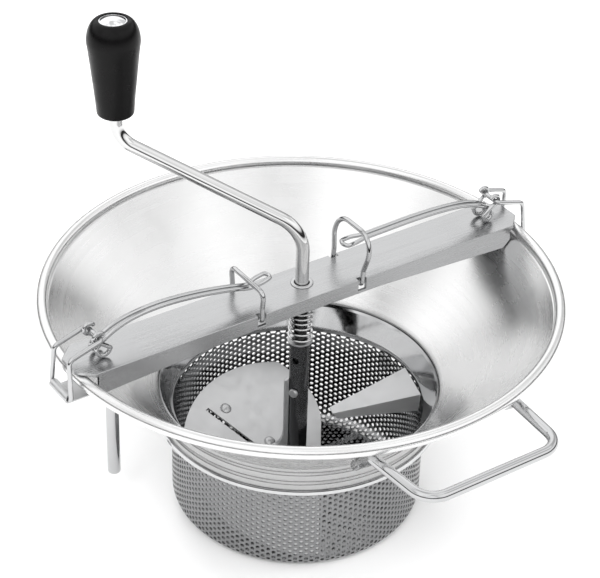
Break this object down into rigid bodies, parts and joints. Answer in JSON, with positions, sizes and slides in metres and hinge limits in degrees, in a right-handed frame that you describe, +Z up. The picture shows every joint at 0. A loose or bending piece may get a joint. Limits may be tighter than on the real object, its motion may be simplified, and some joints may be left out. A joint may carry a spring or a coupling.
{
  "type": "potato ricer",
  "caption": "Steel conical hopper with a perforated basket, a crank-driven sloping blade, a sprung shaft, and a crossbar held by wire toggle latches.",
  "frame": {"origin": "centre of the basket's flat underside", "axes": "+X along the crossbar, +Z up along the shaft, loop handle towards -Y"},
  "size_m": [0.3248, 0.3419, 0.3121],
  "materials": {
    "polished_sheet": "mirror-polished stainless sheet",
    "perforated_sheet": "polished stainless sheet with punched holes",
    "satin_steel": "satin stainless steel",
    "bright_wire": "bright drawn stainless wire",
    "polished_rod": "polished stainless rod",
    "spring_steel": "bright spring wire",
    "chrome_cap": "domed chrome",
    "black_plastic": "glossy black moulded plastic"
  },
  "bodies": {
    "mill": {"hopper": "polished_sheet", "rim_wire": "bright_wire", "neck_ring": "polished_sheet", "basket": "perforated_sheet", "floor_bush": "satin_steel", "food_guide": "satin_steel", "loop_handle": "bright_wire", "support_leg_left": "bright_wire", "support_leg_right": "bright_wire", "crossbar": "satin_steel", "crossbar_eyelet": "satin_steel", "latch_bracket_left": "satin_steel", "latch_bracket_right": "satin_steel", "spring_seat": "satin_steel", "spring": "spring_steel"},
    "shaft_carrier": {"spring_washer": "satin_steel"},
    "crank": {"crank_rod": "polished_rod", "grip_washer": "satin_steel", "blade_sleeve": "polished_rod", "sleeve_screw": "satin_steel", "blade": "satin_steel", "blade_hub": "satin_steel", "scraper_strip": "satin_steel", "scraper_rivet_1": "satin_steel", "scraper_rivet_2": "satin_steel"},
    "crank_grip": {"grip": "black_plastic", "grip_cap": "chrome_cap"},
    "bail_left": {"bail_left": "bright_wire"},
    "lever_left": {"lever_left": "bright_wire"},
    "keeper_left": {"keeper_left": "bright_wire"},
    "bail_right": {"bail_right": "bright_wire"},
    "lever_right": {"lever_right": "bright_wire"},
    "keeper_right": {"keeper_right": "bright_wire"}
  },
  "joints": [
    {"name": "shaft_lift", "type": "slide", "parent": "mill", "child": "shaft_carrier", "axis": [0, 0, 1], "range_m": [0, 0.004], "stiffness_N_per_m": 1500, "springref_m": -0.006, "deforming": ["spring"]},
    {"name": "crank_turn", "type": "hinge", "parent": "shaft_carrier", "child": "crank", "pos_m": [0, 0, 0.1], "axis": [0, 0, 1], "continuous": true},
    {"name": "grip_spin", "type": "hinge", "parent": "crank", "child": "crank_grip", "pos_m": [-0.07778, 0.07778, 0.28], "axis": [0, 0, 1], "continuous": true},
    {"name": "bail_left_swing", "type": "hinge", "parent": "mill", "child": "bail_left", "pos_m": [-0.1595, 0, 0.138], "axis": [0, -1, 0], "range_deg": [0, 80]},
    {"name": "lever_left_lift", "type": "hinge", "parent": "bail_left", "child": "lever_left", "pos_m": [-0.138, 0, 0.1688], "axis": [0, -1, 0], "range_deg": [0, 110], "deforming": ["keeper_left"]},
    {"name": "bail_right_swing", "type": "hinge", "parent": "mill", "child": "bail_right", "pos_m": [0.1595, 0, 0.138], "axis": [0, 1, 0], "range_deg": [0, 80]},
    {"name": "lever_right_lift", "type": "hinge", "parent": "bail_right", "child": "lever_right", "pos_m": [0.138, 0, 0.1688], "axis": [0, 1, 0], "range_deg": [0, 110], "deforming": ["keeper_right"]},
    {"name": "keeper_left_tilt", "type": "hinge", "parent": "mill", "child": "keeper_left", "pos_m": [-0.038, 0, 0.1498], "axis": [0, 1, 0], "range_deg": [-8, 8]},
    {"name": "keeper_right_tilt", "type": "hinge", "parent": "mill", "child": "keeper_right", "pos_m": [0.0325, 0, 0.1498], "axis": [0, 1, 0], "range_deg": [-8, 8]}
  ]
}
